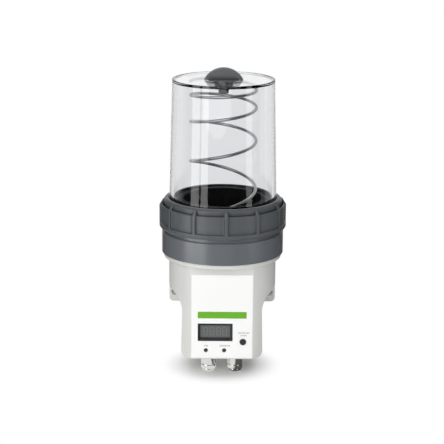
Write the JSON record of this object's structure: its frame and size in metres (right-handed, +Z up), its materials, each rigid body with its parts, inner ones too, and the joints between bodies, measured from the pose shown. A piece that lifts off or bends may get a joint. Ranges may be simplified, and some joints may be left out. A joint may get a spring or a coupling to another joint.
{
  "type": "automatic lubricator",
  "caption": "Wall-mounted spring-fed automatic grease lubricator: clear reservoir hood, ribbed union nut, white drive housing with display and hose outlets.",
  "frame": {"origin": "midway between the two mounting holes, on the wall plane behind the mounting ears", "axes": "+Z up along the reservoir, +Y into the wall, the front panel faces -Y, +X to the right seen from the front"},
  "size_m": [0.103, 0.1055, 0.2492],
  "materials": {
    "clear_hood": "clear moulded polymer, polished",
    "black_plastic": "satin moulded",
    "button_black": "fine grain",
    "nut_grey": "fine moulded grain",
    "base_grey": "satin moulded",
    "housing_white": "fine moulded grain",
    "label_film": "satin printed film",
    "display_glass": "display face",
    "lamp_lens": "dark lens",
    "circuit_board": "solder resist",
    "seal_rubber": "moulded",
    "zinc_steel": "zinc plated",
    "spring_steel": "drawn bright",
    "pump_alloy": "machined",
    "bronze": "machined",
    "motor_can": "drawn",
    "nickel": "nickel plated, turned",
    "cell_wrap": "printed sleeve without print"
  },
  "bodies": {
    "root": {"housing": "housing_white", "rear_cover": "housing_white", "cover_gasket": "seal_rubber", "base_screws": "zinc_steel", "cover_screws": "zinc_steel", "board_screws": "zinc_steel", "motor_screws": "zinc_steel", "front_label": "label_film", "display_bezel": "black_plastic", "display_module": "display_glass", "status_lamp_left": "lamp_lens", "status_lamp_right": "lamp_lens", "button_switch": "black_plastic", "control_board": "circuit_board", "reservoir_base": "base_grey", "hood_gasket": "seal_rubber", "hood": "clear_hood", "neck_ring": "clear_hood", "follower_spring": "spring_steel", "piston_spring_left": "spring_steel", "piston_spring_right": "spring_steel", "pump_body": "pump_alloy", "cam_bearing_left": "bronze", "cam_bearing_right": "bronze", "motor": "motor_can", "outlet_fitting_left": "nickel", "outlet_fitting_right": "nickel", "outlet_seal_left": "seal_rubber", "outlet_seal_right": "seal_rubber", "battery_cells": "cell_wrap", "battery_tray": "black_plastic"},
    "vent_plug": {"vent_plug": "black_plastic", "vent_plug_seal": "seal_rubber"},
    "follower": {"follower_plate": "black_plastic", "follower_seal": "seal_rubber"},
    "union_nut": {"union_nut": "nut_grey"},
    "select_button": {"select_button": "button_black"},
    "camshaft": {"camshaft": "spring_steel", "drive_gear": "bronze"},
    "motor_rotor": {"motor_shaft": "spring_steel", "motor_pinion": "bronze"},
    "piston_left": {"pump_piston_left": "spring_steel"},
    "piston_right": {"pump_piston_right": "spring_steel"},
    "release_collar_left": {"release_collar_left": "nickel"},
    "release_collar_right": {"release_collar_right": "nickel"}
  },
  "joints": [
    {"name": "vent_plug_turn", "type": "hinge", "parent": "root", "child": "vent_plug", "pos_m": [0, -0.054, 0.1879], "axis": [0, 0, 1], "range_deg": [0, 90]},
    {"name": "follower_slide", "type": "slide", "parent": "root", "child": "follower", "axis": [0, 0, 1], "range_m": [0, 0.068], "stiffness_N_per_m": 350, "springref_m": -0.06, "deforming": ["follower_spring"]},
    {"name": "union_nut_turn", "type": "hinge", "parent": "root", "child": "union_nut", "pos_m": [0, -0.054, 0.08], "axis": [0, 0, 1], "range_deg": [0, 540]},
    {"name": "button_press", "type": "slide", "parent": "root", "child": "select_button", "axis": [0, 1, 0], "range_m": [0, 0.0005], "stiffness_N_per_m": 600, "springref_m": -0.0005},
    {"name": "camshaft_turn", "type": "hinge", "parent": "root", "child": "camshaft", "pos_m": [0, -0.066, 0.018], "axis": [1, 0, 0], "continuous": true},
    {"name": "motor_turn", "type": "hinge", "parent": "root", "child": "motor_rotor", "pos_m": [0, -0.0443, 0.018], "axis": [1, 0, 0], "continuous": true},
    {"name": "piston_left_slide", "type": "slide", "parent": "root", "child": "piston_left", "axis": [0, 0, 1], "range_m": [-0.002, 0], "stiffness_N_per_m": 600, "springref_m": 0.003, "deforming": ["piston_spring_left"]},
    {"name": "piston_right_slide", "type": "slide", "parent": "root", "child": "piston_right", "axis": [0, 0, 1], "range_m": [-0.002, 0], "stiffness_N_per_m": 600, "springref_m": 0.003, "deforming": ["piston_spring_right"]},
    {"name": "release_left", "type": "slide", "parent": "root", "child": "release_collar_left", "axis": [0, 0, 1], "range_m": [0, 0.0006], "stiffness_N_per_m": 800, "springref_m": -0.0005},
    {"name": "release_right", "type": "slide", "parent": "root", "child": "release_collar_right", "axis": [0, 0, 1], "range_m": [0, 0.0006], "stiffness_N_per_m": 800, "springref_m": -0.0005}
  ],
  "couplings": [
    {"joint": "motor_turn", "follows": "camshaft_turn", "ratio": -2.875}
  ]
}
